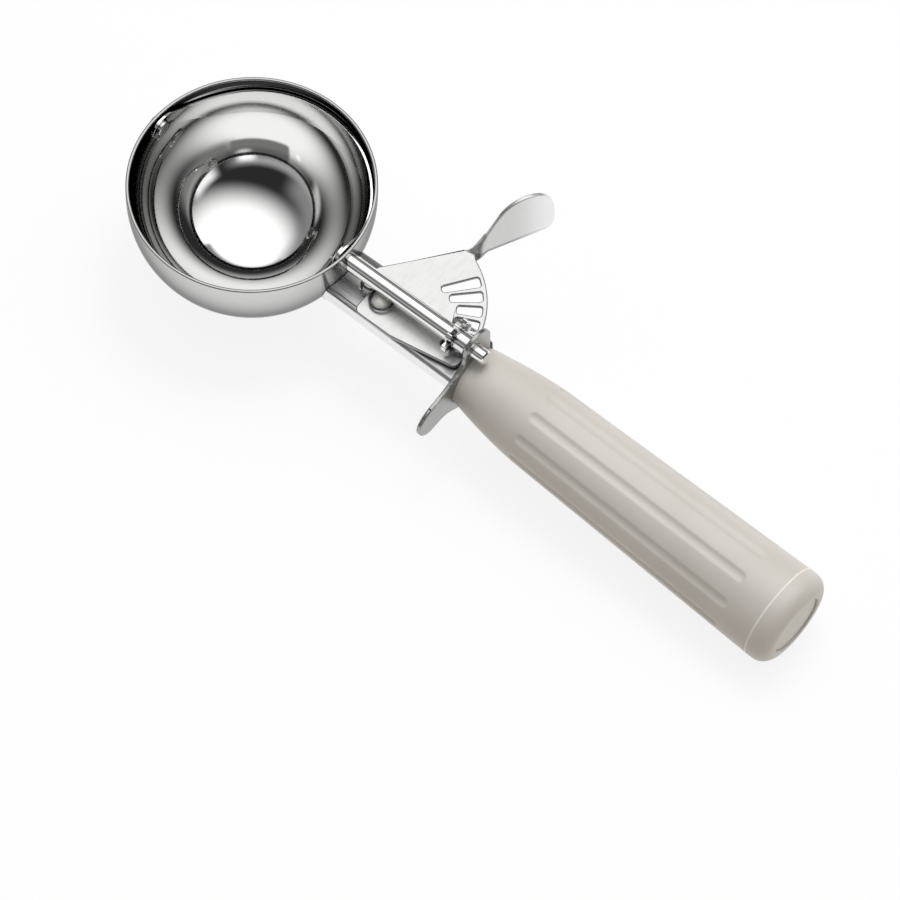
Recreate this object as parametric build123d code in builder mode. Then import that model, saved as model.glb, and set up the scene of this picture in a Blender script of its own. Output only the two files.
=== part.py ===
from build123d import *
import os
from math import asin, atan2, cos, degrees, pi, radians, sin

# Lever ice cream scoop.  Millimetres.  The origin is the centre of the bowl's mouth, +X runs
# to the end of the handle, +Z out of the bowl's mouth, and the thumb lever is on the +Y side.
#
# Pushing the thumb tab turns the slotted sector about its rivet.  Its slots turn the pinion
# on the shaft, and the shaft sweeps the blade half a turn round the inside of the bowl.

os.makedirs("parts", exist_ok=True)

# ---------------------------------------------------------------- driving dimensions

# bowl
bowl_r = 34.0            # outside radius
bowl_wall = 1.0
bowl_band = 4.0          # straight band between the rim and the hemisphere
rim_round = 0.4

# shaft, along X through the centre of the hemisphere
shaft_z = -bowl_band
shaft_r = 2.5
journal_r = 2.1          # turned-down end that carries the pinion and runs in the guard
shaft_end_x = 81.8
running_gap = 0.06       # radial clearance of every turning fit
seat_gap = 0.02          # between a flat head and the curved wall under it

# blade and its two pivots
blade_gap = 0.4          # between the blade and the bowl
blade_t = 0.7
blade_w = 8.6            # height of the blade at the middle of its sweep
eye_r = 3.6
pivot_play = 0.2         # along the shaft, between the blade's eyes and their heads
pin_r, pin_head_r, pin_head_t = 1.5, 2.4, 0.9
spacer_r, spacer_t = 2.3, 0.26
hub_r, hub_t, hub_bore = 3.4, 0.9, 1.7

# lever, turning about a vertical rivet
rivet_x, rivet_y = 47.0, -2.0
rivet_r = 2.0
rivet_head_r, rivet_head_h = 2.6, 1.7
washer_r = 5.4
plate_t = 1.2
plate_top = -8.8
plate_play = 0.05        # under and over the plate, between washer and rivet head
sector_r = 28.5
slot_pitch = 10.0        # degrees between slots
first_slot = 2.7         # degrees from +X, lever at rest
slot_half_angle = 3.4
slot_outer_r = 27.2
slot_inner_r = (20.4, 20.4, 20.4, 20.4, 18.4, 16.7)
slot_round = 0.75
tab_angle = 64.5         # the thumb tab's run, degrees from +X

# pinion
pinion_teeth = 8
pinion_x = 70.6          # front end of the teeth
pinion_face = 1.5
tooth_tip_r, tooth_root_r = 5.65, 3.6
tooth_tip_w, tooth_root_w = 1.7, 2.2
tip_round = 0.4
collar_r, collar_t = 3.3, 0.6
pinion_hub_r = 2.9
pinion_play = 0.6        # along the shaft, between the hub and the guard

# return spring
wire_r, coil_r = 0.35, 3.25
spring_hole_r = 0.9
coil_turns, coil_pitch = 1.18, 0.75
sector_leg = 8.0
back_bend_r, hook_bend_r = 2.7, 0.9

# frame and guard
frame_t = 1.2
web_top = -10.6
flange_h = 4.6
channel_front_w, channel_back_w = 16.0, 17.6
tongue_half_turn = 11.0  # degrees round the bowl
tongue_top, tongue_drop = -12.0, 18.0    # degrees down the bowl
guard_x, guard_t = 76.4, 1.3

# handle, a taper that tilts down from the frame
handle_tilt = radians(5.2)
handle_x, handle_z = guard_x + guard_t, -17.7
grip_length, cap_length = 105.0, 6.6
front_r, shoulder_r, end_r = 8.9, 11.95, 14.1
shoulder_at = 22.0
cap_round = 4.4
disc_r, disc_t, disc_recess = 8.7, 0.8, 0.6
groove_count = 10
groove_r, groove_depth = 2.4, 0.5
groove_start, groove_end = 23.0, 94.0
groove_phase = 1.0       # degrees

# tang and the screw that holds the handle on it
tang_w, tang_t = 9.0, 3.0
tang_front_x, tang_bend_x = 56.0, 81.0
tang_join = 40.0         # distance along the handle at which the tang meets its axis
screw_r, screw_head_r, screw_head_h = 2.0, 3.6, 2.2
screw_length = 16.0
washer_out_r, washer_t = 4.4, 0.8
boss_r, boss_length = 3.6, 14.0
spigot_r, spigot_length = 10.0, 3.0

# ---------------------------------------------------------------- worked out from them

inner_r = bowl_r - bowl_wall
blade_out_r = inner_r - blade_gap
blade_in_r = blade_out_r - blade_t
plate_bottom = plate_top - plate_t
plate_mid = plate_top - plate_t / 2
web_bottom = web_top - frame_t
tang_z = web_bottom - tang_t / 2
handle_length = grip_length + cap_length
handle_dir = (cos(handle_tilt), 0, -sin(handle_tilt))


def along_handle(distance, height=0.0):
    """Point of the handle's middle plane: distance along its axis, height above the axis."""
    x = handle_x + distance * cos(handle_tilt) + height * sin(handle_tilt)
    z = handle_z - distance * sin(handle_tilt) + height * cos(handle_tilt)
    return (x, 0, z)


def from_rivet(dx, dy):
    """Point of the sector plate, counted from the rivet."""
    return (rivet_x + dx, rivet_y + dy)


def polar(radius, angle):
    """Point of the sector plate, at an angle in degrees from +X round the rivet."""
    return from_rivet(radius * cos(radians(angle)), radius * sin(radians(angle)))


def disc(x, outer, inner=0.0):
    """A flat disc or ring across the shaft's axis, facing +X."""
    with BuildSketch(Plane.YZ.offset(x)) as face:
        with Locations((0, shaft_z)):
            Circle(outer)
            if inner:
                Circle(inner, mode=Mode.SUBTRACT)
    return face.sketch


def save(piece, name):
    """Label a finished piece and write it."""
    piece.part.label = name
    export_step(piece.part, f"parts/{name}.step")


handle_axis = Axis(along_handle(0), handle_dir)
handle_side = Plane(along_handle(0), x_dir=handle_dir, z_dir=(0, -1, 0))
handle_across = Plane(along_handle(0), x_dir=(0, 1, 0), z_dir=handle_dir)

# ---------------------------------------------------------------- bowl and blade

# Bowl: a hemisphere under a short straight band, one wall thick.
with BuildPart() as bowl:
    with BuildSketch(Plane.XZ):
        with BuildLine():
            Line((inner_r, 0), (bowl_r, 0))
            Line((bowl_r, 0), (bowl_r, shaft_z))
            CenterArc((0, shaft_z), bowl_r, 0, -90)
            Line((0, shaft_z - bowl_r), (0, shaft_z - inner_r))
            CenterArc((0, shaft_z), inner_r, 0, -90)
            Line((inner_r, shaft_z), (inner_r, 0))
        make_face()
    revolve(axis=Axis.Z)
    fillet(bowl.edges().group_by(Axis.Z)[-1], rim_round)
    extrude(disc(inner_r - 1, shaft_r + running_gap), amount=3, mode=Mode.SUBTRACT)
    extrude(disc(-bowl_r - 1, pin_r), amount=3, mode=Mode.SUBTRACT)
save(bowl, "bowl")

# Blade: a strip of a thin sphere inside the bowl's, at rest along the +Y wall.  Seen along
# the shaft it widens from a round eye on the axis to its full height at the wall.
with BuildPart() as scraper_blade:
    with BuildSketch(Plane.XZ):
        with BuildLine():
            CenterArc((0, shaft_z), blade_out_r, -90, 180)
            Line((0, shaft_z + blade_out_r), (0, shaft_z + blade_in_r))
            CenterArc((0, shaft_z), blade_in_r, 90, -180)
            Line((0, shaft_z - blade_in_r), (0, shaft_z - blade_out_r))
        make_face()
    revolve(axis=Axis.Z)
    with BuildSketch(Plane.YZ):
        with BuildLine():
            Line((0, shaft_z - eye_r), (0, shaft_z + eye_r))
            Spline(
                (0, shaft_z + eye_r),
                (8, shaft_z + 0.9),
                (bowl_r, shaft_z),
                tangents=((1, 0), (1, 0)),
            )
            Line((bowl_r, shaft_z), (bowl_r, shaft_z - blade_w))
            Spline(
                (bowl_r, shaft_z - blade_w),
                (14, shaft_z - 0.9 * blade_w),
                (0, shaft_z - eye_r),
                tangents=((-1, 0), (-1, 0)),
            )
        make_face()
        with Locations((0, shaft_z)):
            Circle(eye_r)
    extrude(amount=bowl_r, both=True, mode=Mode.INTERSECT)
    extrude(disc(-bowl_r, pin_r + running_gap), amount=5, mode=Mode.SUBTRACT)
    extrude(disc(bowl_r - 5, hub_bore), amount=5, mode=Mode.SUBTRACT)
save(scraper_blade, "scraper_blade")

# Far pivot: a rivet through the bowl wall and the blade's eye, with a thin spacer between.
pin_foot_x = -bowl_r - seat_gap
pin_inner_x = pivot_play - blade_in_r
with BuildPart() as blade_pivot_pin:
    extrude(disc(pin_foot_x, pin_r), amount=pin_inner_x - pin_foot_x)
    extrude(disc(pin_inner_x, pin_head_r), amount=pin_head_t)
    fillet(blade_pivot_pin.edges().sort_by(Axis.X)[-1], 0.5)
    extrude(disc(pin_foot_x - pin_head_t, pin_head_r), amount=pin_head_t)
    fillet(blade_pivot_pin.edges().sort_by(Axis.X)[0], 0.6)
save(blade_pivot_pin, "blade_pivot_pin")

with BuildPart() as pivot_spacer:
    extrude(disc(-inner_r + (blade_gap - spacer_t) / 2, spacer_r, pin_r), amount=spacer_t)
save(pivot_spacer, "pivot_spacer")

# ---------------------------------------------------------------- shaft and pinion

collar_x = pinion_x - collar_t
hub_x = blade_in_r - pivot_play - hub_t
shaft_start_x = hub_x - 0.4
shoulder_x = blade_out_r + seat_gap
with BuildPart() as drive_shaft:
    extrude(disc(shaft_start_x, hub_bore), amount=shoulder_x - shaft_start_x)
    extrude(disc(shoulder_x, shaft_r), amount=collar_x - shoulder_x)
    extrude(disc(collar_x, journal_r), amount=shaft_end_x - collar_x)
    chamfer(drive_shaft.edges().sort_by(Axis.X)[-1], 0.35)
    chamfer(drive_shaft.edges().sort_by(Axis.X)[0], 0.3)
save(drive_shaft, "drive_shaft")

with BuildPart() as blade_hub:
    extrude(disc(hub_x, hub_r, hub_bore), amount=hub_t)
    chamfer(blade_hub.edges().group_by(Axis.X)[0].sort_by(Edge.length)[-1], 0.3)
save(blade_hub, "blade_hub")

with BuildPart() as shaft_collar:
    extrude(disc(collar_x, collar_r, journal_r), amount=collar_t)
    fillet(shaft_collar.edges().sort_by(Edge.length)[-2:], 0.2)
save(shaft_collar, "shaft_collar")

# Pinion: a star of eight thick teeth and a plain hub behind it.  Its pitch circle rolls on the
# middle plane of the sector, so the ratio is the slots of a full circle over the teeth.
gear_ratio = 360 / slot_pitch / pinion_teeth
mesh_angle = degrees(atan2(-rivet_y, pinion_x + pinion_face / 2 - rivet_x))
tooth_phase = (first_slot - mesh_angle) * gear_ratio
tooth_foot = (tooth_root_r ** 2 - tooth_root_w ** 2 / 4) ** 0.5
pinion_hub_x = pinion_x + pinion_face
with BuildPart() as pinion:
    with BuildSketch(Plane((pinion_x, 0, shaft_z), x_dir=(0, 1, 0), z_dir=(1, 0, 0))) as star:
        Circle(tooth_root_r)
        with PolarLocations(0, pinion_teeth, start_angle=tooth_phase - 90):
            Polygon(
                (journal_r, tooth_root_w / 2),
                (tooth_foot, tooth_root_w / 2),
                (tooth_tip_r, tooth_tip_w / 2),
                (tooth_tip_r, -tooth_tip_w / 2),
                (tooth_foot, -tooth_root_w / 2),
                (journal_r, -tooth_root_w / 2),
                align=None,
            )
        fillet(star.vertices().group_by(SortBy.DISTANCE)[-1], tip_round)
    extrude(amount=pinion_face)
    extrude(disc(pinion_hub_x, pinion_hub_r), amount=guard_x - pinion_play - pinion_hub_x)
    extrude(disc(pinion_x, journal_r), amount=guard_x - pinion_x, mode=Mode.SUBTRACT)
save(pinion, "pinion")

# ---------------------------------------------------------------- sector lever

# One stamping: the slotted sector, and a leaf-shaped thumb tab that a narrow twisted neck
# turns upright at the sector's upper corner.
tab_out = (cos(radians(tab_angle)), sin(radians(tab_angle)), 0)
tab_root = from_rivet(9.4, 27.0)
tab_side = Plane((*tab_root, 0), x_dir=tab_out, z_dir=(tab_out[1], -tab_out[0], 0))


def tab_section(distance, twist, rise):
    """Plane across the tab at a distance from its root, turned by twist about its own line."""
    c, s = cos(radians(twist)), sin(radians(twist))
    origin = (
        tab_root[0] + distance * tab_out[0],
        tab_root[1] + distance * tab_out[1],
        plate_mid + rise,
    )
    return Plane(origin, x_dir=(tab_out[1] * c, -tab_out[0] * c, -s), z_dir=tab_out)


tab_start, tab_shoulder = 4.2, -1.4

# each: distance from the root, twist, rise of the middle, width
neck = ((-1.8, 0, 0, 3.6), (0.2, 30, 0, 3.6), (2.0, 65, 1.3, 4.4), (4.2, 90, 3.7, 8.6))

with BuildPart() as sector_lever:
    with BuildSketch(Plane.XY.offset(plate_bottom)):
        with BuildLine():
            Polyline(
                polar(sector_r, -6.9),
                from_rivet(8.8, -6.8),
                from_rivet(-4.2, -6.8),
                from_rivet(-4.6, 1.0),
                from_rivet(-8.2, 7.0),
                from_rivet(8.3, 28.0),
                from_rivet(10.4, 26.9),
                polar(sector_r, 66),
            )
            ThreePointArc(polar(sector_r, 66), polar(sector_r, 30), polar(sector_r, -6.9))
        make_face()
        with Locations((rivet_x, rivet_y)):
            Circle(rivet_r + running_gap, mode=Mode.SUBTRACT)
        with Locations((rivet_x + sector_leg + hook_bend_r, rivet_y + coil_r)):
            Circle(spring_hole_r, mode=Mode.SUBTRACT)
    extrude(amount=plate_t)
    corners = sector_lever.edges().filter_by(Axis.Z)
    fillet(corners.sort_by_distance((*from_rivet(-4.2, -6.8), plate_mid))[0], 2.0)
    fillet(corners.sort_by_distance((*from_rivet(-8.2, 7.0), plate_mid))[0], 2.0)
    fillet(corners.sort_by_distance((*polar(sector_r, -6.9), plate_mid))[0], 2.4)
    with BuildSketch(Plane.XY.offset(plate_bottom)) as slots:
        for number, inner in enumerate(slot_inner_r):
            middle = first_slot + number * slot_pitch
            low, high = middle - slot_half_angle, middle + slot_half_angle
            with BuildLine():
                Line(polar(inner, low), polar(slot_outer_r, low))
                Line(polar(slot_outer_r, low), polar(slot_outer_r, high))
                Line(polar(slot_outer_r, high), polar(inner, high))
                Line(polar(inner, high), polar(inner, low))
            make_face()
        fillet(slots.vertices(), slot_round)
    extrude(amount=plate_t, mode=Mode.SUBTRACT)
    for distance, twist, rise, width in neck:
        with BuildSketch(tab_section(distance, twist, rise)):
            Rectangle(width, plate_t)
    loft()
    with BuildSketch(tab_side.offset(-plate_t / 2)):
        with BuildLine():
            Line((tab_start, tab_shoulder), (tab_start, plate_bottom))
            low_edge = Line((tab_start, plate_bottom), (20.8, plate_bottom))
            corner = TangentArc((20.8, plate_bottom), (24.0, -7.2), tangent=low_edge % 1)
            far_end = TangentArc((24.0, -7.2), (23.4, 3.6), tangent=corner % 1)
            crown = TangentArc((23.4, 3.6), (15.5, 9.7), tangent=far_end % 1)
            brow = TangentArc((15.5, 9.7), (7.7, 4.8), tangent=crown % 1)
            Line(brow @ 1, (tab_start, tab_shoulder))
        make_face()
    extrude(amount=plate_t)
save(sector_lever, "sector_lever")

# Rivet: a domed head over the sector, a shank down through washer and web, a clenched foot.
rivet_top = plate_top + plate_play
dome_edge = 0.5
foot_t, foot_r, foot_seat_r = 0.9, 2.5, 3.1
dome_rise = rivet_head_h - dome_edge
dome_r = (rivet_head_r ** 2 + dome_rise ** 2) / (2 * dome_rise)
dome_angle = degrees(asin(rivet_head_r / dome_r))
with BuildPart() as lever_rivet:
    with BuildSketch(Plane.XZ.offset(-rivet_y)):
        with BuildLine():
            Polyline(
                (rivet_x, rivet_top + rivet_head_h),
                (rivet_x, web_bottom - foot_t),
                (rivet_x + foot_r, web_bottom - foot_t),
                (rivet_x + foot_seat_r, web_bottom),
                (rivet_x + rivet_r, web_bottom),
                (rivet_x + rivet_r, rivet_top),
                (rivet_x + rivet_head_r, rivet_top),
                (rivet_x + rivet_head_r, rivet_top + dome_edge),
            )
            CenterArc((rivet_x, rivet_top + rivet_head_h - dome_r), dome_r, 90, -dome_angle)
        make_face()
    revolve(axis=Axis((rivet_x, rivet_y, 0), (0, 0, 1)))
save(lever_rivet, "lever_rivet")

with BuildPart() as rivet_washer:
    with BuildSketch(Plane.XY.offset(web_top)):
        with Locations((rivet_x, rivet_y)):
            Circle(washer_r)
            Circle(rivet_r, mode=Mode.SUBTRACT)
    extrude(amount=plate_bottom - plate_play - web_top)
save(rivet_washer, "rivet_washer")

# Return spring: a torsion coil round the rivet's head.  Its lower end lies along the sector
# and drops into a hole there, its upper end bends back and hooks down through the web.
coil_slope = coil_pitch / (2 * pi * coil_r)
coil_z = plate_top + wire_r + 0.06 + coil_slope * sector_leg
coil = Plane((rivet_x, rivet_y, coil_z), x_dir=(0, 1, 0)) * Helix(
    pitch=coil_pitch, height=coil_pitch * coil_turns, radius=coil_r
)


def bend(start, direction, normal, radius, angle):
    """An arc that leaves start along direction and turns about normal, degrees."""
    sideways = normal.cross(direction).normalized()
    plane = Plane(start, x_dir=direction, z_dir=direction.cross(sideways))
    with BuildLine(plane) as arc:
        JernArc((0, 0), (1, 0), radius, angle)
    return arc.edges()[0]


up = Vector(0, 0, 1)
leg_dir = -(coil % 0)
leg_end = coil @ 0 + leg_dir * sector_leg
side = leg_dir.cross(up).normalized()
sector_hook = bend(leg_end, leg_dir, side, hook_bend_r, -90)
back_bend = bend(coil @ 1, coil % 1, up, back_bend_r, -95)
hook_start, hook_dir = back_bend @ 1, back_bend % 1
frame_hook = bend(hook_start, hook_dir, hook_dir.cross(up).normalized(), hook_bend_r, -90)
hook_foot = frame_hook @ 1
with BuildLine() as spring_wire:
    Line(sector_hook @ 1, sector_hook @ 1 - up * 0.5)
    add(sector_hook)
    Line(leg_end, coil @ 0)
    add(coil)
    add(back_bend)
    add(frame_hook)
    Line(hook_foot, (hook_foot.X, hook_foot.Y, web_bottom - 0.8))
spring_path = spring_wire.wires()[0]

with BuildPart() as lever_spring:
    with BuildSketch(Plane(spring_path @ 0, z_dir=spring_path % 0)):
        Circle(wire_r)
    sweep(path=spring_path)
save(lever_spring, "lever_spring")

# ---------------------------------------------------------------- frame

tongue_turn = radians(tongue_half_turn)
tongue_start = Plane(
    (0, 0, 0),
    x_dir=(cos(tongue_turn), -sin(tongue_turn), 0),
    z_dir=(-sin(tongue_turn), -cos(tongue_turn), 0),
)

# Channel: a sheet bent down along both sides, its front end shaped to the bowl, with a
# tongue bent down that lies on the bowl's wall.
with BuildPart() as frame_channel:
    with BuildSketch(Plane.XY.offset(web_top)):
        with BuildLine():
            Polyline(
                (bowl_r - 5, channel_front_w / 2),
                (guard_x, channel_back_w / 2),
                (guard_x, -channel_back_w / 2),
                (bowl_r - 5, -channel_front_w / 2),
                close=True,
            )
        make_face()
    extrude(amount=-flange_h)
    web_edges = frame_channel.faces().sort_by(Axis.Z)[-1].edges()
    fillet(web_edges.sort_by(Edge.length)[-2:], 1.6)
    open_faces = frame_channel.faces().filter_by(Axis.X)
    open_faces.append(frame_channel.faces().sort_by(Axis.Z)[0])
    offset(amount=-frame_t, openings=open_faces)
    with BuildSketch(Plane.XY.offset(web_top)):
        with Locations((rivet_x, rivet_y)):
            Circle(rivet_r)
        with Locations((hook_foot.X, hook_foot.Y)):
            Circle(wire_r + 0.15)
    extrude(amount=-frame_t, mode=Mode.SUBTRACT)
    with BuildSketch(Plane.XZ):
        with BuildLine():
            Line((0, shaft_z + bowl_r), (0, shaft_z - bowl_r))
            CenterArc((0, shaft_z), bowl_r, -90, 180)
        make_face()
    revolve(axis=Axis.Z, mode=Mode.SUBTRACT)
    with BuildSketch(tongue_start):
        with BuildLine():
            inner = CenterArc((0, shaft_z), bowl_r, tongue_top, -tongue_drop)
            outer = CenterArc((0, shaft_z), bowl_r + frame_t, tongue_top, -tongue_drop)
            Line(inner @ 0, outer @ 0)
            Line(inner @ 1, outer @ 1)
        make_face()
    revolve(axis=Axis.Z, revolution_arc=2 * tongue_half_turn)
save(frame_channel, "frame_channel")

# Tang: a flat bar welded under the web, through the guard and down the middle of the handle.
tang_end = handle_length - cap_length - 4
with BuildPart() as tang:
    with BuildSketch(Plane.XZ):
        with BuildLine() as tang_line:
            joint = along_handle(tang_join)
            end = along_handle(tang_end)
            Polyline(
                (tang_front_x, tang_z), (tang_bend_x, tang_z), (joint[0], joint[2]), (end[0], end[2])
            )
        trace(line_width=tang_t)
    extrude(amount=tang_w / 2, both=True)
    with BuildSketch(handle_across.offset(tang_end - boss_length)):
        Circle(boss_r)
    extrude(amount=boss_length)
    with BuildSketch(handle_across.offset(tang_end)):
        Circle(screw_r)
    extrude(amount=-boss_length, mode=Mode.SUBTRACT)
save(tang, "tang")

# Guard: a flat plate across the end of the channel, with an ear round the shaft and a lobe
# that keeps the finger off the sector.
with BuildPart() as finger_guard:
    with BuildSketch(Plane.YZ.offset(guard_x)):
        with BuildLine():
            ThreePointArc((6.8, -4.2), (1.6, 1.0), (-3.6, -4.2))
            Spline(
                (-3.6, -4.2),
                (-7.4, -9.2),
                (-13.4, -11.6),
                (-19.6, -13.2),
                (-23.0, -17.2),
                (-19.8, -22.4),
                (-13.0, -22.4),
                (-7.6, -25.0),
                (0.0, -27.6),
                (6.0, -25.0),
                (8.3, -18.0),
                (7.2, -10.5),
                (6.8, -4.2),
                tangents=((0, -1), (0, 1)),
            )
        make_face()
        with Locations((0, shaft_z)):
            Circle(journal_r + running_gap, mode=Mode.SUBTRACT)
        with Locations((0, tang_z)):
            Rectangle(tang_w, tang_t, mode=Mode.SUBTRACT)
    extrude(amount=guard_t)
save(finger_guard, "finger_guard")

# ---------------------------------------------------------------- handle

# Groove cutter, in the handle's own frame: a round bar with ball ends, laid on the taper.
grip_slope = (end_r - shoulder_r) / (grip_length - shoulder_at)


def groove_point(distance):
    """Middle of the cutter above the grip's surface, at a distance along the handle."""
    surface = shoulder_r + grip_slope * (distance - shoulder_at)
    return Vector(surface + groove_r - groove_depth, 0, distance)


groove_low, groove_high = groove_point(groove_start), groove_point(groove_end)
with BuildPart() as groove_cutter:
    with BuildSketch(Plane(groove_low, z_dir=groove_high - groove_low)):
        Circle(groove_r)
    extrude(amount=(groove_high - groove_low).length)
    with Locations(groove_low, groove_high):
        Sphere(groove_r)

# Grip: a revolved taper with a rounded shoulder, moulded on the tang, ten long grooves.
with BuildPart() as handle_grip:
    with BuildSketch(handle_side):
        with BuildLine():
            Line((-2, 0), (-2, front_r - 0.3))
            Line((-2, front_r - 0.3), (0, front_r))
            Spline(
                (0, front_r),
                (8, 10.15),
                (15, 11.3),
                (shoulder_at, shoulder_r),
                (56, 12.87),
                (grip_length, end_r),
                tangents=((1, 0.15), (1, grip_slope)),
            )
            Line((grip_length, end_r), (grip_length, 0))
            Line((grip_length, 0), (-2, 0))
        make_face()
    revolve(axis=handle_axis)
    split(bisect_by=Plane.YZ.offset(handle_x), keep=Keep.TOP)
    add(tang.part, mode=Mode.SUBTRACT)
    with Locations(handle_across):
        with PolarLocations(0, groove_count, start_angle=groove_phase):
            add(groove_cutter.part, mode=Mode.SUBTRACT)
    with BuildSketch(handle_across.offset(grip_length)):
        Circle(spigot_r)
    extrude(amount=-spigot_length, mode=Mode.SUBTRACT)
    with BuildSketch(handle_across.offset(grip_length)):
        Circle(screw_r)
    extrude(amount=tang_end - boss_length - grip_length, mode=Mode.SUBTRACT)
save(handle_grip, "handle_grip")

# End cap: a rounded plug on the end of the grip, with a seat for the disc and a pocket for
# the screw's head.
seat_depth = disc_recess + disc_t
pocket_depth = seat_depth + screw_head_h + washer_t + 0.2
with BuildPart() as handle_end_cap:
    with BuildSketch(handle_across.offset(grip_length)):
        Circle(end_r)
    extrude(amount=cap_length)
    rims = handle_end_cap.edges().sort_by(handle_axis)
    fillet(rims[-1], cap_round)
    chamfer(handle_end_cap.edges().sort_by(handle_axis)[0], 0.25)
    with BuildSketch(handle_across.offset(grip_length)):
        Circle(spigot_r)
    extrude(amount=-spigot_length)
    for radius, depth in ((disc_r, seat_depth), (washer_out_r + 0.2, pocket_depth), (screw_r, 12)):
        with BuildSketch(handle_across.offset(handle_length)):
            Circle(radius)
        extrude(amount=-depth, mode=Mode.SUBTRACT)
save(handle_end_cap, "handle_end_cap")

with BuildPart() as tang_washer:
    with BuildSketch(handle_across.offset(handle_length - pocket_depth)):
        Circle(washer_out_r)
        Circle(screw_r, mode=Mode.SUBTRACT)
    extrude(amount=washer_t)
save(tang_washer, "tang_washer")

with BuildPart() as tang_screw:
    with BuildSketch(handle_across.offset(handle_length - pocket_depth + washer_t)):
        Circle(screw_head_r)
    extrude(amount=screw_head_h)
    fillet(tang_screw.edges().sort_by(handle_axis)[-1], 0.8)
    with BuildSketch(handle_across.offset(handle_length - pocket_depth + washer_t + screw_head_h)):
        for turn in (0, 90):
            Rectangle(3.2, 0.8, rotation=turn)
    extrude(amount=-1.2, mode=Mode.SUBTRACT)
    with BuildSketch(handle_across.offset(handle_length - pocket_depth + washer_t)):
        Circle(screw_r)
    extrude(amount=-screw_length)
save(tang_screw, "tang_screw")

with BuildPart() as end_disc:
    with BuildSketch(handle_across.offset(handle_length - seat_depth)):
        Circle(disc_r)
    extrude(amount=disc_t)
    chamfer(end_disc.edges().sort_by(handle_axis)[-1], 0.15)
save(end_disc, "end_disc")
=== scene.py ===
from math import cos, pi, radians, sin

import bmesh
import bpy
import numpy as np
from mathutils import Matrix, Vector


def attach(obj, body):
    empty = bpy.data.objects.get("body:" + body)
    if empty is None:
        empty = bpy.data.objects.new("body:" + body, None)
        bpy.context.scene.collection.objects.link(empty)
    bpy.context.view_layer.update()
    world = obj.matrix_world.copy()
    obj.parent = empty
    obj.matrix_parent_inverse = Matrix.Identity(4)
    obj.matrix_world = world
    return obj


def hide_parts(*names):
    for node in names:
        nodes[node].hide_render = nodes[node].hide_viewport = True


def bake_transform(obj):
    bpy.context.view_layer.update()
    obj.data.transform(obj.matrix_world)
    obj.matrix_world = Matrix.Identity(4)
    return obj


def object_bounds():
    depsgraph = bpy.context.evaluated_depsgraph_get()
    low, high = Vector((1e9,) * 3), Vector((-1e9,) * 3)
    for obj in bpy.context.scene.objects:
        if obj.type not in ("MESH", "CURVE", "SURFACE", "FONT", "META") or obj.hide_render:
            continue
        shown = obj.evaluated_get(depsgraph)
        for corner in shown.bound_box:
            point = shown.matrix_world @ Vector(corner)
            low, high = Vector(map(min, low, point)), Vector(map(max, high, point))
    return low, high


# Lever ice cream scoop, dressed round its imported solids.  Metres, in the solids' own frame:
# +X to the end of the handle, +Z out of the bowl's mouth, the thumb lever on the +Y side.

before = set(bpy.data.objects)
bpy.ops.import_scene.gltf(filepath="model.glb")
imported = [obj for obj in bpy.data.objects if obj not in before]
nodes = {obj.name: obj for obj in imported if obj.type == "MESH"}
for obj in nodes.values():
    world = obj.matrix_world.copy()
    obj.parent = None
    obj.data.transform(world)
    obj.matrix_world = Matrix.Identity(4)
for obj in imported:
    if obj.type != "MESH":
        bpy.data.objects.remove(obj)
cad_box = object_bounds()
MM = 0.001

# ---------------------------------------------------------------- driving dimensions

# Millimetres.  The finishes and the surfaces both work from these.
bowl_r, bowl_wall, bowl_band, rim_round = 34.0, 1.0, 4.0, 0.4
shaft_z = -4.0
plate_low, plate_top = -10.0, -8.8

# Handle: it starts on the back of the guard and tilts down.
handle_tilt = radians(5.2)
handle_start = np.array((77.7, 0.0, -17.7))
handle_along = np.array((np.cos(handle_tilt), 0.0, -np.sin(handle_tilt)))
handle_up = np.array((np.sin(handle_tilt), 0.0, np.cos(handle_tilt)))
handle_left = np.array((0.0, 1.0, 0.0))
grip_length, cap_length = 105.0, 6.6

# Grip: radius at its front, at the shoulder of its swell and at its end.
front_r, shoulder_r, end_r = 8.9, 11.95, 14.1
taper_from, shoulder_at = 22.0, 25.0
grip_taper = (end_r - shoulder_r) / (grip_length - taper_from)
groove_count, groove_depth, groove_half = 10, 0.46, 1.5
groove_from, groove_to = 23.0, 94.2
groove_phase = radians(1.0)
groove_softness = 0.05

# End cap: its spigot in the grip, its round end, and the disc let into it.
spigot_r, spigot_length, tang_hole_r = 9.85, 3.0, 2.0
disc_r, disc_recess, disc_t, cap_round = 8.7, 0.6, 0.8, 4.4
screw_pocket_r = 4.6

# Return spring, wound round the rivet; its bend back is in degrees.
rivet = np.array((47.0, -2.0))
wire_r, coil_r, coil_turns, coil_pitch = 0.35, 3.25, 1.18, 0.75
leg_length, hook_r, back_bend_r, back_bend = 8.0, 0.9, 2.7, 95.0
coil_clearance, lever_stub, frame_stub = 0.06, 0.5, 3.0

# ---------------------------------------------------------------- node helpers


def wire(tree, kind, inputs=(), **settings):
    """Add a node, set its settings, and fill its sockets with values or other sockets."""
    node = tree.nodes.new(kind)
    for key, value in settings.items():
        setattr(node, key, value)
    for key, value in dict(inputs).items():
        if isinstance(value, bpy.types.NodeSocket):
            tree.links.new(value, node.inputs[key])
        else:
            node.inputs[key].default_value = value
    return node


def maths(tree, operation, a, b=0.0, c=0.0):
    """One arithmetic step."""
    return wire(tree, "ShaderNodeMath", {0: a, 1: b, 2: c}, operation=operation).outputs[0]


def dot(tree, vector, other):
    """How far a vector reaches along another one."""
    node = wire(tree, "ShaderNodeVectorMath", {0: vector, 1: other}, operation="DOT_PRODUCT")
    return node.outputs["Value"]


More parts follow.
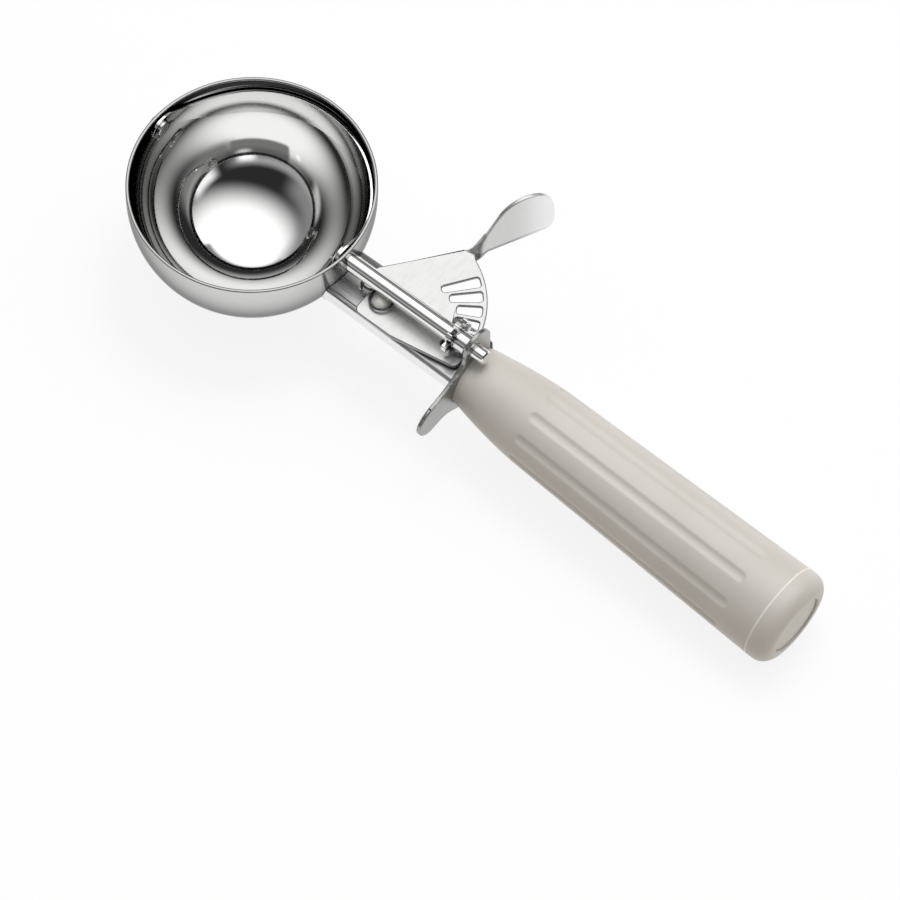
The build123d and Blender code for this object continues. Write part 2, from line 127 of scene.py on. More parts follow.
def spread(tree, value, low, high, to_low=0.0, to_high=1.0, smooth=True):
    """Carry a value from one range to another, clamped, with soft ends."""
    kind = "SMOOTHSTEP" if smooth else "LINEAR"
    sockets = {"Value": value, "From Min": low, "From Max": high, "To Min": to_low, "To Max": to_high}
    return wire(tree, "ShaderNodeMapRange", sockets, interpolation_type=kind).outputs[0]


def place(tree):
    """Where a point lies in the solids' frame, in metres."""
    return wire(tree, "ShaderNodeTexCoord").outputs["Object"]


def place_along(tree, axis):
    """Where a point lies along X, Y or Z, in metres."""
    return wire(tree, "ShaderNodeSeparateXYZ", {0: place(tree)}).outputs[axis]


def facing_along(tree, axis):
    """How squarely a surface faces along X, Y or Z: 1 along it, 0 across it, -1 against it."""
    normal = wire(tree, "ShaderNodeTexCoord").outputs["Normal"]
    return wire(tree, "ShaderNodeSeparateXYZ", {0: normal}).outputs[axis]


def new_group(name, inputs, outputs):
    """An empty shader group with named sockets, and its input and output nodes."""
    group = bpy.data.node_groups.new(name, "ShaderNodeTree")
    for socket, kind in inputs:
        group.interface.new_socket(socket, in_out="INPUT", socket_type="NodeSocket" + kind)
    for socket, kind in outputs:
        group.interface.new_socket(socket, in_out="OUTPUT", socket_type="NodeSocket" + kind)
    return group, group.nodes.new("NodeGroupInput"), group.nodes.new("NodeGroupOutput")


# ---------------------------------------------------------------- effects shared by materials


def make_polish():
    """Fine polishing lines and faint smears on bare metal.

    Roughness = base + lines * streaks of stretched noise + smear * broad soft noise.
    Height = the streaks."""
    inputs = [("Vector", "Vector"), ("Base", "Float"), ("Lines", "Float"), ("Smear", "Float")]
    group, into, out = new_group("polish", inputs, [("Roughness", "Float"), ("Height", "Float")])
    streaks = wire(
        group, "ShaderNodeTexNoise",
        {"Vector": into.outputs["Vector"], "Scale": 1400.0, "Detail": 3.0},
    )
    broad = wire(
        group, "ShaderNodeTexNoise",
        {"Vector": into.outputs["Vector"], "Scale": 60.0, "Detail": 2.0, "Roughness": 0.6},
    )
    fine = spread(group, streaks.outputs[0], 0.42, 0.72)
    wide = spread(group, broad.outputs[0], 0.4, 0.7)
    rough = maths(group, "MULTIPLY_ADD", fine, into.outputs["Lines"], into.outputs["Base"])
    rough = maths(group, "MULTIPLY_ADD", wide, into.outputs["Smear"], rough)
    group.links.new(rough, out.inputs["Roughness"])
    group.links.new(fine, out.inputs["Height"])
    return group


def make_grain():
    """The fine bead-blasted grain of a moulding, with soft wear cloud by cloud.

    Height = small noise; Mask = slow noise that lightens and smooths the worn places."""
    inputs = [("Vector", "Vector"), ("Scale", "Float")]
    group, into, out = new_group("grain", inputs, [("Height", "Float"), ("Mask", "Float")])
    small = wire(
        group, "ShaderNodeTexNoise",
        {"Vector": into.outputs["Vector"], "Scale": into.outputs["Scale"], "Detail": 2.0},
    )
    slow = wire(group, "ShaderNodeTexNoise", {"Vector": into.outputs["Vector"], "Scale": 45.0, "Detail": 3.0})
    group.links.new(small.outputs[0], out.inputs["Height"])
    group.links.new(spread(group, slow.outputs[0], 0.35, 0.7), out.inputs["Mask"])
    return group


polish = make_polish()
grain = make_grain()

# ---------------------------------------------------------------- finishes


def new_material(name):
    """A material, its node tree and its Principled shader."""
    material = bpy.data.materials.new(name)
    material.use_nodes = True
    tree = material.node_tree
    return material, tree, tree.nodes["Principled BSDF"]


def add_effect(tree, group, vector, **values):
    """Put a shared effect into a material, with its own values."""
    effect = tree.nodes.new("ShaderNodeGroup")
    effect.node_tree = group
    tree.links.new(vector, effect.inputs["Vector"])
    for key, value in values.items():
        effect.inputs[key].default_value = value
    return effect.outputs


def add_relief(tree, shader, height, strength, depth):
    """Raise the surface a little by a height mask; depth is in metres."""
    sockets = {"Strength": strength, "Distance": depth, "Height": height}
    bump = wire(tree, "ShaderNodeBump", sockets)
    tree.links.new(bump.outputs[0], shader.inputs["Normal"])


def steel(name, colour, base, lines, smear, stretch=(1, 1, 1), relief=0.0, glance=1.0, metallic=1.0):
    """Bare stainless steel; stretch squeezes the polishing lines along an axis, relief raises them.

    glance is how much of the light that only grazes the surface is given back."""
    material, tree, shader = new_material(name)
    mapped = wire(tree, "ShaderNodeMapping", {"Vector": place(tree), "Scale": stretch}).outputs[0]
    marks = add_effect(tree, polish, mapped, Base=base, Lines=lines, Smear=smear)
    shader.inputs["Base Color"].default_value = (*colour, 1.0)
    shader.inputs["Metallic"].default_value = metallic
    shader.inputs["Specular Tint"].default_value = (glance, glance, glance, 1.0)
    tree.links.new(marks["Roughness"], shader.inputs["Roughness"])
    if relief:
        add_relief(tree, shader, marks["Height"], relief, 0.02 * MM)
    return material


def plastic(name, colour, worn, rough):
    """Moulded plastic with a fine grain, smoother where it is worn."""
    material, tree, shader = new_material(name)
    marks = add_effect(tree, grain, place(tree), Scale=2600.0)
    shader.inputs["Base Color"].default_value = (*colour, 1.0)
    paint(material, marks["Mask"], worn)
    roughness = spread(tree, marks["Mask"], 0.0, 1.0, rough, rough - 0.06, False)
    tree.links.new(roughness, shader.inputs["Roughness"])
    add_relief(tree, shader, marks["Height"], 0.25, 0.04 * MM)
    return material


def paint(material, share, colour):
    """Lay a colour over what the finish has so far: share 0 keeps that, 1 is the new colour."""
    tree = material.node_tree
    base = tree.nodes["Principled BSDF"].inputs["Base Color"]
    mix = wire(tree, "ShaderNodeMix", {"Factor": share}, data_type="RGBA")
    if base.is_linked:
        tree.links.new(base.links[0].from_socket, mix.inputs["A"])
    else:
        mix.inputs["A"].default_value = base.default_value
    mix.inputs["B"].default_value = (*colour, 1.0)
    tree.links.new(mix.outputs["Result"], base)


def darken_towards_grey(material, kept, grey):
    """Mix the finish's colour with a dark grey: kept 1 is the finish alone, 0 the grey."""
    paint(material, maths(material.node_tree, "SUBTRACT", 1.0, kept), (grey, grey, grey))


mirror_steel = steel("mirror_steel", (0.74, 0.74, 0.735), 0.03, 0.02, 0.02, glance=0.08)
bowl_steel = steel("bowl_steel", (0.66, 0.66, 0.655), 0.12, 0.03, 0.04, glance=0.35)
polished_steel = steel("polished_steel", (0.86, 0.86, 0.855), 0.07, 0.04, 0.03)
pinion_steel = steel("pinion_steel", (0.78, 0.78, 0.775), 0.10, 0.04, 0.03)
shaft_steel = steel("shaft_steel", (0.82, 0.82, 0.81), 0.06, 0.04, 0.02, (0.05, 1.0, 1.0))
guard_steel = steel("guard_steel", (0.38, 0.38, 0.375), 0.27, 0.04, 0.03, (1.0, 0.2, 1.0), 0.35)
channel_steel = steel("channel_steel", (0.88, 0.88, 0.875), 0.30, 0.04, 0.03, (0.2, 1.0, 1.0), 0.35)
satin_steel = steel("satin_steel", (0.66, 0.66, 0.655), 0.36, 0.05, 0.04, (1.0, 0.2, 1.0), 0.35)
dome_steel = steel("dome_steel", (0.86, 0.835, 0.78), 0.40, 0.04, 0.04, metallic=0.4)
turned_steel = steel("turned_steel", (0.74, 0.735, 0.725), 0.16, 0.05, 0.04)
wire_steel = steel("wire_steel", (0.10, 0.10, 0.098), 0.16, 0.06, 0.03)
grip_plastic = plastic("grip_plastic", (0.554, 0.520, 0.478), (0.584, 0.550, 0.508), 0.38)
disc_plastic = plastic("disc_plastic", (0.64, 0.615, 0.565), (0.67, 0.645, 0.595), 0.45)


def paint_dark_reflection_in_band(material):
    """Inside of the bowl: painted dark reflection, darker up the wall and nearly black in the plain
    band under the rim, and a little brighter again on the round of the rim."""
    tree = material.node_tree
    height = place_along(tree, "Z")
    wall = spread(tree, height, -10.0 * MM, -bowl_band * MM, 1.0, 0.60)
    band = spread(tree, height, -3.2 * MM, -2.6 * MM, 1.0, 0.05)
    rim = spread(tree, height, -rim_round * MM, -0.1 * MM, 0.0, 0.55)
    darken_towards_grey(material, maths(tree, "MULTIPLY_ADD", wall, band, rim), 0.03)


def paint_dark_reflection_on_rim(material):
    """Outside of the bowl: the round of the rim is painted darker than the wall, a painted dark reflection.
    """
    tree = material.node_tree
    darken_towards_grey(material, spread(tree, place_along(tree, "Z"), -0.6 * MM, -0.2 * MM, 1.0, 0.60), 0.03)


def darken_the_edges(material):
    """Lever plate: its cut edges and slot walls, which face sideways, are darker in colour than its faces.

    The tab stands clear of the plate's own thickness and keeps its edges bright."""
    tree = material.node_tree
    flat = spread(tree, maths(tree, "ABSOLUTE", facing_along(tree, "Z")), 0.93, 0.999)
    middle, reach = (plate_top + plate_low) / 2, (plate_top - plate_low) / 2 + 0.2
    inside = maths(tree, "COMPARE", place_along(tree, "Z"), middle * MM, reach * MM)
    darken_towards_grey(material, maths(tree, "MAXIMUM", flat, maths(tree, "SUBTRACT", 1.0, inside)), 0.36)


def paint_light_on_tab(material):
    """Lever plate: painted light, the thumb tab is lighter towards its end, 47 mm out."""
    tree = material.node_tree
    lit_share = spread(tree, place_along(tree, "Y"), 34.0 * MM, 47.0 * MM)
    paint(material, lit_share, (0.92, 0.92, 0.925))


def paint_light_on_sides(material):
    """Channel: painted light on the faces of its side walls that look to -Y, other faces darker, and a
    painted shade line at their foot.
    """
    tree = material.node_tree
    bright = spread(tree, facing_along(tree, "Y"), -0.95, -0.6, 1.0, 0.0)
    foot = spread(tree, place_along(tree, "Z"), -21.2 * MM, -20.7 * MM)
    darken_towards_grey(material, maths(tree, "MULTIPLY", bright, foot), 0.50)


def paint_shade_between_teeth(material):
    """Pinion: painted shade, dark at the foot of its teeth, the plain finish at their tips and on the hub.

    Both unshaded places are masks of the distance from the shaft's middle line."""
    tree = material.node_tree
    drop = maths(tree, "SUBTRACT", place_along(tree, "Z"), shaft_z * MM)
    out = place_along(tree, "Y")
    reach = maths(tree, "MULTIPLY_ADD", out, out, maths(tree, "MULTIPLY", drop, drop))
    reach = maths(tree, "SQRT", reach)
    hub = spread(tree, reach, 2.95 * MM, 3.1 * MM, 1.0, 0.0)
    tips = spread(tree, reach, 3.5 * MM, 4.7 * MM)
    darken_towards_grey(material, maths(tree, "MAXIMUM", hub, tips), 0.05)


def pale_joint(material):
    """Handle: a pale hairline where the cap meets the grip, measured along the handle."""
    tree = material.node_tree
    joint_at = float(handle_start @ handle_along) + grip_length + 0.15
    away = maths(tree, "SUBTRACT", dot(tree, place(tree), handle_along.tolist()), joint_at * MM)
    line = spread(tree, maths(tree, "ABSOLUTE", away), 0.42 * MM, 0.16 * MM)
    paint(material, line, (0.80, 0.76, 0.70))


pale_joint(grip_plastic)
paint_light_on_sides(channel_steel)
paint_dark_reflection_in_band(mirror_steel)
paint_dark_reflection_on_rim(bowl_steel)
darken_the_edges(satin_steel)
paint_light_on_tab(satin_steel)
paint_shade_between_teeth(pinion_steel)

finishes = {
    mirror_steel: ("bowl",),
    polished_steel: ("shaft_collar", "scraper_blade"),
    pinion_steel: ("pinion",),
    channel_steel: ("frame_channel",),
    shaft_steel: ("drive_shaft",),
    guard_steel: ("finger_guard", "tang"),
    satin_steel: ("sector_lever",),
    turned_steel: (
        "rivet_washer", "blade_pivot_pin", "pivot_spacer", "blade_hub",
        "tang_screw", "tang_washer",
    ),
    dome_steel: ("lever_rivet",),
    wire_steel: ("lever_spring",),
    grip_plastic: ("handle_grip", "handle_end_cap"),
    disc_plastic: ("end_disc",),
}
for finish, names in finishes.items():
    for name in names:
        nodes[name].data.materials.clear()
        nodes[name].data.materials.append(finish)

# ---------------------------------------------------------------- surface helpers


def quads(rows, columns):
    """Quads between neighbouring rings of points, which are counted ring by ring."""
    row, column = np.meshgrid(np.arange(rows - 1), np.arange(columns), indexing="ij")
    row, column = row.ravel(), column.ravel()
    after = (column + 1) % columns
    corners = (
        row * columns + column, row * columns + after,
        (row + 1) * columns + after, (row + 1) * columns + column,
    )
    return np.stack(corners, axis=1)


def fan(ring_start, columns, centre, outward):
    """Triangles that close a ring of points with its centre point."""
    here = ring_start + np.arange(columns)
    after = ring_start + (np.arange(columns) + 1) % columns
    middle = np.full(columns, centre)
    return np.stack((after, here, middle) if outward else (here, after, middle), axis=1)


def closed_tube(points):
    """Faces of a grid of rings that is closed round each ring and at both ends by a fan.

    The two centre points follow the grid in the point list."""
    rows, columns = points.shape[:2]
    faces = quads(rows, columns).tolist()
    faces += fan(0, columns, rows * columns, True).tolist()
    faces += fan((rows - 1) * columns, columns, rows * columns + 1, False).tolist()
    ends = np.stack((points[0].mean(axis=0), points[-1].mean(axis=0)))
    return np.concatenate((points.reshape(-1, 3), ends)), faces


def rounded(start, corner, end, steps):
    """Quarter round of a profile, from start to end, on the side of the corner.

    It is the rational curve of second degree on the three points, its corner weighted by the
    root of a half, which for equal sides is a true quarter circle."""
    t = np.linspace(0.0, 1.0, steps)[:, None]
    start, corner, end = (np.array(point, float) for point in (start, corner, end))
    weight = np.sqrt(0.5)
    top = (1 - t) ** 2 * start + 2 * weight * t * (1 - t) * corner + t ** 2 * end
    return top / ((1 - t) ** 2 + 2 * weight * t * (1 - t) + t ** 2)


def add_piece(name, points, faces, finish, body, replaced):
    """Put a surface, in millimetres, into a mesh with its finish, tie it to its body, and hide the solid it
    stands in for.
    """
    crease = radians(40.0)
    mesh = bpy.data.meshes.new(name)
    mesh.from_pydata((points.reshape(-1, 3) * MM).tolist(), [], faces)
    mesh.shade_smooth()
    mesh.set_sharp_from_angle(angle=crease)
    mesh.materials.append(finish)
    piece = bpy.data.objects.new(name, mesh)
    bpy.context.scene.collection.objects.link(piece)
    if body:
        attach(piece, body)
    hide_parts(replaced)
    return piece


# ---------------------------------------------------------------- pressed sheet parts


def ends_outside(mesh, low, high):
    """Which edges of a mesh have an end whose Y, in millimetres, is under low or over high."""
    places = np.zeros(3 * len(mesh.vertices), dtype=np.float32)
    mesh.vertices.foreach_get("co", places)
    ends = np.zeros(2 * len(mesh.edges), dtype=np.int32)
    mesh.edges.foreach_get("vertices", ends)
    across = places.reshape(-1, 3)[ends.reshape(-1, 2), 1]
    return ((across < low * MM) | (across > high * MM)).any(axis=1)


def flat_sheet(name, node):
    """A copy of a solid's mesh, merged and with its flat faces whole again."""
    same_point, same_plane = 0.002 * MM, radians(0.5)
    form = bmesh.new()
    form.from_mesh(nodes[node].data)
    bmesh.ops.remove_doubles(form, verts=form.verts, dist=same_point)
    bmesh.ops.dissolve_limit(form, angle_limit=same_plane, verts=form.verts, edges=form.edges)
    mesh = bpy.data.meshes.new(name)
    form.to_mesh(mesh)
    form.free()
    return mesh


def soften(name, node, finish, body, width, crisp=()):
    """A flat sheet part with every sharp edge rolled over, width millimetres wide.

    An edge wholly between the two Y of crisp is left as it is."""
    mesh = flat_sheet(name, node)
    mesh.materials.clear()
    mesh.materials.append(finish)
    mesh.shade_smooth()
    mesh.set_sharp_from_angle(angle=radians(35.0))
    rolled = np.zeros(len(mesh.edges), dtype=bool)
    mesh.attributes["sharp_edge"].data.foreach_get("value", rolled)
    if crisp:
        rolled = rolled & ends_outside(mesh, *crisp)
    weight = mesh.attributes.new("bevel_weight_edge", "FLOAT", "EDGE")
    weight.data.foreach_set("value", rolled.astype(np.float32))
    piece = bpy.data.objects.new(name, mesh)
    bpy.context.scene.collection.objects.link(piece)
    edge = piece.modifiers.new("edge", "BEVEL")
    edge.width = width * MM
    edge.segments = 3
    edge.limit_method = "WEIGHT"
    edge.harden_normals = True
    edge.use_clamp_overlap = False
    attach(piece, body)
    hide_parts(node)


soften("lever_plate", "sector_lever", satin_steel, "lever", 0.40, (24.5, 32.0))
soften("channel", "frame_channel", channel_steel, "frame", 0.22)
soften("guard", "finger_guard", guard_steel, "frame", 0.30)
soften("blade", "scraper_blade", polished_steel, "scraper", 0.10)

# ---------------------------------------------------------------- bowl


def make_bowl():
    """Bowl: one profile turned round Z, up the outside from its pole, over the round rim, and
    down the inside to its pole.

    A point of the sphere part lies at its radius times (sine, minus cosine) of its polar angle,
    and a fan closes the last 0.6 degrees at each pole."""
    columns, rim_steps = 200, 6
    inner_r = bowl_r - bowl_wall
    polar = np.radians(np.linspace(0.6, 90.0, 70))
    inner = np.stack((inner_r * np.sin(polar), -bowl_band - inner_r * np.cos(polar)), axis=1)
    outer = np.stack((bowl_r * np.sin(polar), -bowl_band - bowl_r * np.cos(polar)), axis=1)
    rim_out = rounded((bowl_r, -rim_round), (bowl_r, 0.0), (bowl_r - rim_round, 0.0), rim_steps)
    rim_in = rounded((inner_r + rim_round, 0.0), (inner_r, 0.0), (inner_r, -rim_round), rim_steps)
    profile = np.concatenate((outer, rim_out, rim_in, inner[::-1]))
    angle = np.linspace(0.0, 2 * np.pi, columns, endpoint=False)
    across, height = np.repeat(profile.T[:, :, None], columns, axis=2)
    points = np.stack((across * np.cos(angle), across * np.sin(angle), height), axis=2)
    points, faces = closed_tube(points)
    piece = add_piece("bowl_shell", points, faces, mirror_steel, "frame", "bowl")
    piece.data.materials.append(bowl_steel)
    ring = np.arange(len(faces)) // columns
    outside_pole = len(profile) - 1
    outside = (ring < len(outer) + 2 * rim_steps - 1) | (ring == outside_pole)
    piece.data.polygons.foreach_set("material_index", outside.astype(np.int32))


make_bowl()

# ---------------------------------------------------------------- handle


def place_on_handle(distance, radius, angle):
    """Points at a distance along the handle and a radius and angle round it, from +Y up."""
    across = np.cos(angle)[..., None] * handle_left + np.sin(angle)[..., None] * handle_up
    return handle_start + distance[..., None] * handle_along + radius[..., None] * across


def taper(distance):
    """Radius of the bare grip: a straight taper, less a quarter sine wave at its front end."""
    line = shoulder_r + grip_taper * (distance - taper_from)
    drop = shoulder_r - taper_from * grip_taper - front_r
    swing = np.clip(distance / shoulder_at, 0.0, 1.0) * np.pi / 2
    return line - drop * (1.0 - np.sin(swing))


def groove(distance, angle, radius):
    """Depth of the long grooves: a parabola across each, round at the ends, soft-edged.

    q is how far a point lies from the middle line of its groove, in millimetres."""
    pitch = 2 * np.pi / groove_count
    across = ((angle - groove_phase + pitch / 2) % pitch - pitch / 2) * radius
    beyond = np.maximum(np.maximum(groove_from - distance, distance - groove_to), 0.0)
    q = np.hypot(across, beyond)
    cut = groove_depth * (1.0 - (q / groove_half) ** 2)
    return (cut + np.sqrt(cut ** 2 + groove_softness ** 2)) / 2 * (q < 3 * groove_half)


def make_grip():
    """Grip: the taper less its grooves, with a soft end edge and a seat for the cap's spigot.

    The columns crowd together at each groove, by a sine wave on their even spacing, and the
    rings at the grooves' ends.  Near the front the rings lean, and the first lies on the guard."""
    per_groove, crowding, lean_length = 30, 0.55, 12.0
    share = np.arange(groove_count * per_groove) / per_groove
    share = share + crowding * np.sin(2 * np.pi * (share + 0.5)) / (2 * np.pi)
    angle = share * 2 * np.pi / groove_count + groove_phase
    rim_at = grip_length - 0.1
    stations = np.concatenate((
        np.linspace(0.0, 20.5, 22),
        np.linspace(21.0, 26.0, 21),
        np.linspace(28.0, 90.0, 32),
        np.linspace(91.5, 96.5, 21),
        np.linspace(97.5, rim_at, 8),
    ))
    distance = np.repeat(stations[:, None], len(angle), axis=1)
    around = np.broadcast_to(angle, distance.shape)
    radius = taper(distance)
    radius = radius - groove(distance, around, radius)
    near = np.clip(1.0 - distance / lean_length, 0.0, 1.0) ** 2
    distance = distance - near * radius * np.sin(around) * np.tan(handle_tilt)

    seat_r, seat_at = spigot_r + 0.05, grip_length - spigot_length
    rim_r = end_r - 0.12
    rim = rounded((rim_at, taper(rim_at)), (grip_length, end_r - 0.01), (grip_length, rim_r), 5)
    seat = ((grip_length, seat_r + 0.1), (rim_at, seat_r), (seat_at, seat_r), (seat_at, tang_hole_r))
    profile = np.concatenate((rim[1:], seat))
    more = np.repeat(profile[:, None, :], len(angle), axis=1)
    distance = np.concatenate((distance, more[..., 0]))
    radius = np.concatenate((radius, more[..., 1]))
    around = np.broadcast_to(angle, distance.shape)
    points, faces = closed_tube(place_on_handle(distance, radius, around))
    add_piece("grip", points, faces, grip_plastic, "frame", "handle_grip")


def turned_on_handle(name, profile, columns, finish, replaced):
    """A piece turned round the handle's axis from a profile of (distance, radius)."""
    distance, radius = np.repeat(profile.T[:, :, None], columns, axis=2)
    angle = np.broadcast_to(np.linspace(0.0, 2 * np.pi, columns, endpoint=False), distance.shape)
    points, faces = closed_tube(place_on_handle(distance, radius, angle))
    add_piece(name, points, faces, finish, "frame", replaced)


def make_cap():
    """End cap: spigot, soft front edge at the joint, taper, full round, rim and disc seat."""
    front, back = grip_length + 0.01, grip_length + cap_length
    lip_r, rim_r = end_r + 0.05, end_r - cap_round
    spigot_end, seat_r = grip_length - spigot_length, disc_r + 0.02
    seat, pocket = back - disc_recess - disc_t, back - disc_recess - disc_t - 2.0
    profile = np.concatenate((
        ((spigot_end, tang_hole_r), (spigot_end, spigot_r)),
        ((grip_length - 0.05, spigot_r), (grip_length + 0.05, spigot_r + 0.15)),
        rounded((front, lip_r - 0.2), (front, lip_r), (grip_length + 0.2, lip_r), 7),
        rounded((back - cap_round, end_r), (back, end_r), (back, rim_r), 26),
        rounded((back, disc_r + 0.35), (back, seat_r), (back - 0.35, seat_r), 6),
        ((seat, seat_r), (seat, screw_pocket_r)),
        ((pocket, screw_pocket_r), (pocket, tang_hole_r)),
    ))
    turned_on_handle("cap", profile, 128, grip_plastic, "handle_end_cap")


def make_disc():
    """Disc in the end of the cap: its dome is a parabola over the radius, its edge is soft."""
    edge, middle_r, dome_height = 0.3, 0.4, 0.12
    back = grip_length + cap_length - disc_recess
    reach = np.linspace(disc_r - 0.4, middle_r, 14)
    dome = back + dome_height * (1.0 - (reach / disc_r) ** 2)
    profile = np.concatenate((
        ((back - disc_t, middle_r), (back - disc_t, disc_r)),
        rounded((back - edge, disc_r), (back, disc_r), (back, disc_r - edge), 6),
        np.stack((dome, reach), axis=1),
    ))
    turned_on_handle("end_plate", profile, 96, disc_plastic, "end_disc")


make_grip()
make_cap()
make_disc()

# ---------------------------------------------------------------- return spring


def make_spring():
    """Return spring: one wire, whose middle line is the running sum of its direction.

    Its heading and its pitch are straight runs between corners, so that every bend is an arc:
    a hook in the lever, a leg, the coil, a bend back, and a hook down through the frame."""
    climb = coil_pitch / (2 * np.pi * coil_r)
    quarter = hook_r * np.pi / 2
    lengths = (
        lever_stub, quarter, leg_length, coil_turns * 2 * np.pi * coil_r,
        back_bend_r * radians(back_bend), quarter, frame_stub,
    )
    knots = np.concatenate(((0.0,), np.cumsum(lengths)))
    wound, level = coil_turns * 360.0, np.degrees(climb)
    unwound = wound - back_bend
    heading_at = np.array((0.0, 0.0, 0.0, 0.0, wound, unwound, unwound, unwound)) + 180.0
    pitch_at = np.array((90.0, 90.0, level, level, level, level, -90.0, -90.0))
    along = np.linspace(0.0, knots[-1], 560)
    heading = np.radians(np.interp(along, knots, heading_at))
    pitch = np.radians(np.interp(along, knots, pitch_at))
    ahead = np.stack(
        (np.cos(pitch) * np.cos(heading), np.cos(pitch) * np.sin(heading), np.sin(pitch)), axis=1
    )
    steps = (ahead[1:] + ahead[:-1]) / 2 * np.diff(along)[:, None]
    line = np.concatenate((np.zeros((1, 3)), np.cumsum(steps, axis=0)))
    coil_start = np.searchsorted(along, knots[3])
    coil_z = plate_top + wire_r + coil_clearance + climb * leg_length
    line = line + np.array((rivet[0], rivet[1] + coil_r, coil_z)) - line[coil_start]
    sideways = np.stack((-np.sin(heading), np.cos(heading), np.zeros_like(heading)), axis=1)
    above = np.cross(ahead, sideways)
    angle = np.linspace(0.0, 2 * np.pi, 16, endpoint=False)[:, None]
    ring = np.cos(angle) * sideways[:, None] + np.sin(angle) * above[:, None]
    points, faces = closed_tube(line[:, None] + wire_r * ring)
    return add_piece("spring", points, faces, wire_steel, None, "lever_spring")


spring = make_spring()
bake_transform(spring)

# ---------------------------------------------------------------- studio


def add_to_scene(name, data):
    """A new object of the studio, linked to the scene."""
    thing = bpy.data.objects.new(name, data)
    bpy.context.scene.collection.objects.link(thing)
    return thing


def make_camera():
    """Camera: from above the bowl, to the right of the handle, far off with a long lens."""
    right = Vector((0.7705, 0.6374, 0.0))
    upward = Vector((-0.5520, 0.6673, 0.5))
    toward = Vector((0.3187, -0.3853, 0.866))
    aim = Vector((80.6, -13.7, -35.75)) * MM
    distance, film_width = 3.0, 36.0
    pixels_per_metre, picture_pixels = 3720.0, 900.0
    camera = add_to_scene("camera", bpy.data.cameras.new("camera"))
    turn = Matrix((right.normalized(), upward.normalized(), toward.normalized())).transposed()
    camera.matrix_world = Matrix.Translation(aim + toward.normalized() * distance) @ turn.to_4x4()
    camera.data.sensor_width = film_width
    camera.data.lens = pixels_per_metre * distance * film_width / picture_pixels
    camera.data.clip_end = 20.0
    bpy.context.scene.camera = camera


def make_floor():
    """Floor: a wide sheet of white paper just under the lowest point of the handle.

    It is plain white to look at, and gives the underside of the part a slightly warm light."""
    half, z = 3.0, cad_box[0][2] - 0.4 * MM
    white, warm, glow_share = (0.86, 0.86, 0.86), (0.86, 0.805, 0.74), 0.86
    mesh = bpy.data.meshes.new("floor")
    corners = [(-half, -half, z), (half, -half, z), (half, half, z), (-half, half, z)]
    mesh.from_pydata(corners, [], [(0, 1, 2, 3)])
    floor = add_to_scene("floor", mesh)
    material, tree, shader = new_material("floor_paper")
    shader.inputs["Roughness"].default_value = 0.9
    shader.inputs["Specular IOR Level"].default_value = 0.1
    rays = wire(tree, "ShaderNodeLightPath").outputs
    seen = maths(tree, "MAXIMUM", rays["Is Camera Ray"], rays["Is Glossy Ray"])
    seen = maths(tree, "MAXIMUM", seen, rays["Is Transmission Ray"])
    shader.inputs["Base Color"].default_value = (*warm, 1.0)
    paint(material, seen, white)
    glow = wire(tree, "ShaderNodeEmission", {"Color": (1, 1, 1, 1), "Strength": 1.0})
    share = maths(tree, "MULTIPLY", seen, glow_share)
    mixed = wire(tree, "ShaderNodeMixShader", {0: share, 1: shader.outputs[0], 2: glow.outputs[0]})
    tree.links.new(mixed.outputs[0], tree.nodes["Material Output"].inputs["Surface"])
    floor.data.materials.append(material)


def window(tree, azimuth, height, centre, half, edge):
    """Mask of one panel of the studio, soft at its edges, in degrees of azimuth and height."""
    around = maths(tree, "SUBTRACT", azimuth, centre[0])
    around = maths(tree, "ABSOLUTE", maths(tree, "WRAP", around, 180.0, -180.0))
    above = maths(tree, "ABSOLUTE", maths(tree, "SUBTRACT", height, centre[1]))
    across = spread(tree, around, half[0] + edge[0], half[0] - edge[0])
    upright = spread(tree, above, half[1] + edge[1], half[1] - edge[1])
    return maths(tree, "MULTIPLY", across, upright)


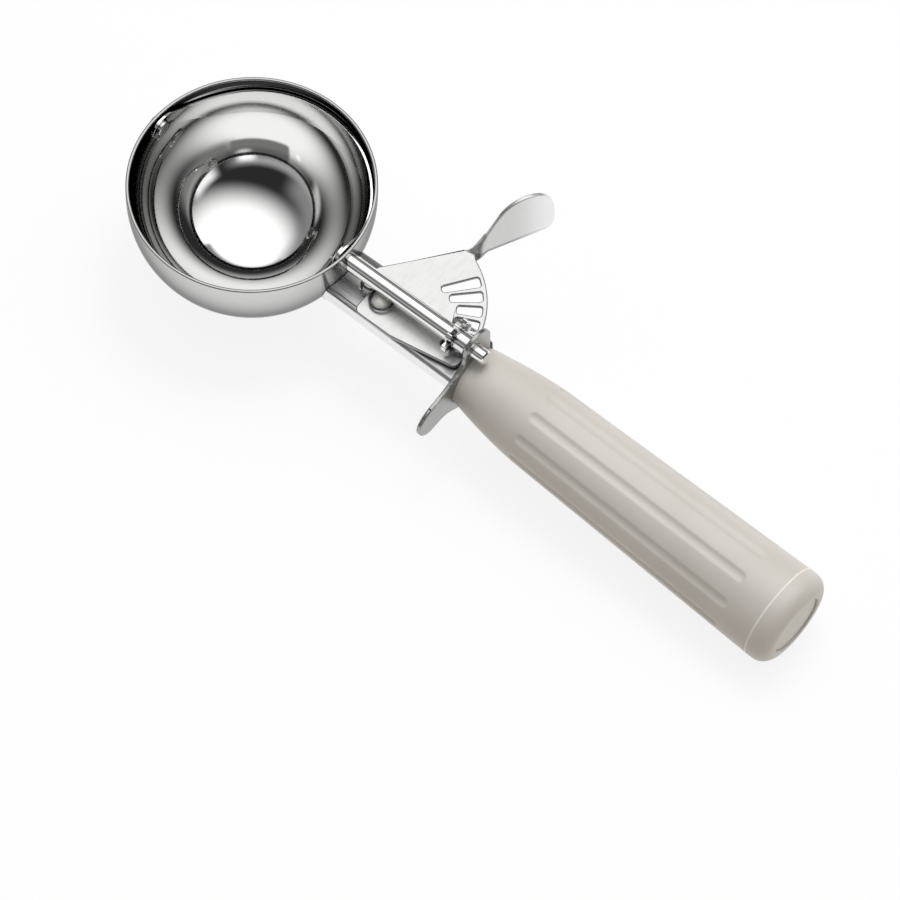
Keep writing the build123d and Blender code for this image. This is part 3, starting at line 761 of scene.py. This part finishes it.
def make_room():
    """Room: white overhead, fading to dark on the camera's side, a grey wall behind, a dark
    skirting all round, and small lights.  What is seen of it directly is plain white."""
    dark_side = Vector((0.0678, -0.3848, -0.9205))
    overhead, unlit = 1.62, 0.03
    panels = (
        # centre azimuth and height, half width and height, softness both ways, brightness
        ((-150.0, 26.0), (50.0, 20.0), (14.0, 10.0), 0.30),
        ((-90.0, 28.0), (60.0, 4.0), (15.0, 4.0), 0.45),
        ((118.0, 20.0), (44.0, 25.0), (3.0, 3.0), 0.30),
        ((0.0, 0.0), (180.0, 14.0), (1.0, 8.0), 0.08),
        ((8.0, 29.0), (16.0, 5.0), (8.0, 4.0), 1.25),
        ((142.0, 19.0), (9.0, 4.0), (8.0, 4.0), 1.9),
        ((-44.0, 25.0), (8.0, 3.0), (6.0, 4.0), 1.6),
        ((60.0, 36.0), (3.0, 3.0), (3.0, 3.0), 1.8),
    )
    world = bpy.data.worlds.new("studio")
    bpy.context.scene.world = world
    world.use_nodes = True
    tree = world.node_tree
    direction = wire(tree, "ShaderNodeTexCoord").outputs["Generated"]
    parts = wire(tree, "ShaderNodeSeparateXYZ", {0: direction})
    azimuth = maths(tree, "DEGREES", maths(tree, "ARCTAN2", parts.outputs[1], parts.outputs[0]))
    height = maths(tree, "DEGREES", maths(tree, "ARCSINE", parts.outputs[2]))
    level = spread(tree, dot(tree, direction, dark_side), -0.93, -0.46, overhead, unlit)
    for centre, half, edge, brightness in panels:
        mask = window(tree, azimuth, height, centre, half, edge)
        step = maths(tree, "MULTIPLY", mask, maths(tree, "SUBTRACT", brightness, level))
        level = maths(tree, "ADD", level, step)
    seen = wire(tree, "ShaderNodeLightPath").outputs["Is Camera Ray"]
    level = maths(tree, "MULTIPLY_ADD", seen, maths(tree, "SUBTRACT", 1.0, level), level)
    background = tree.nodes["Background"]
    tree.links.new(level, background.inputs["Strength"])
    background.inputs["Color"].default_value = (1.0, 1.0, 1.0, 1.0)


def add_lamp(name, azimuth, height, distance, size, light):
    """A square lamp aimed at the mechanism; light is what it adds to a white surface."""
    mechanism = Vector((80.0, 0.0, -10.0)) * MM
    lamp = add_to_scene(name, bpy.data.lights.new(name, "AREA"))
    azimuth, height = radians(azimuth), radians(height)
    away = Vector((cos(height) * cos(azimuth), cos(height) * sin(azimuth), sin(height)))
    lamp.location = mechanism + distance * away
    lamp.rotation_euler = away.to_track_quat("Z", "Y").to_euler()
    lamp.data.size = size
    lamp.data.energy = light * pi * pi * distance ** 2
    lamp.visible_glossy = False


make_camera()
make_floor()
make_room()
add_lamp("key_lamp", 97.0, 75.0, 1.2, 0.42, 0.42)

bpy.context.scene.view_settings.view_transform = "Standard"
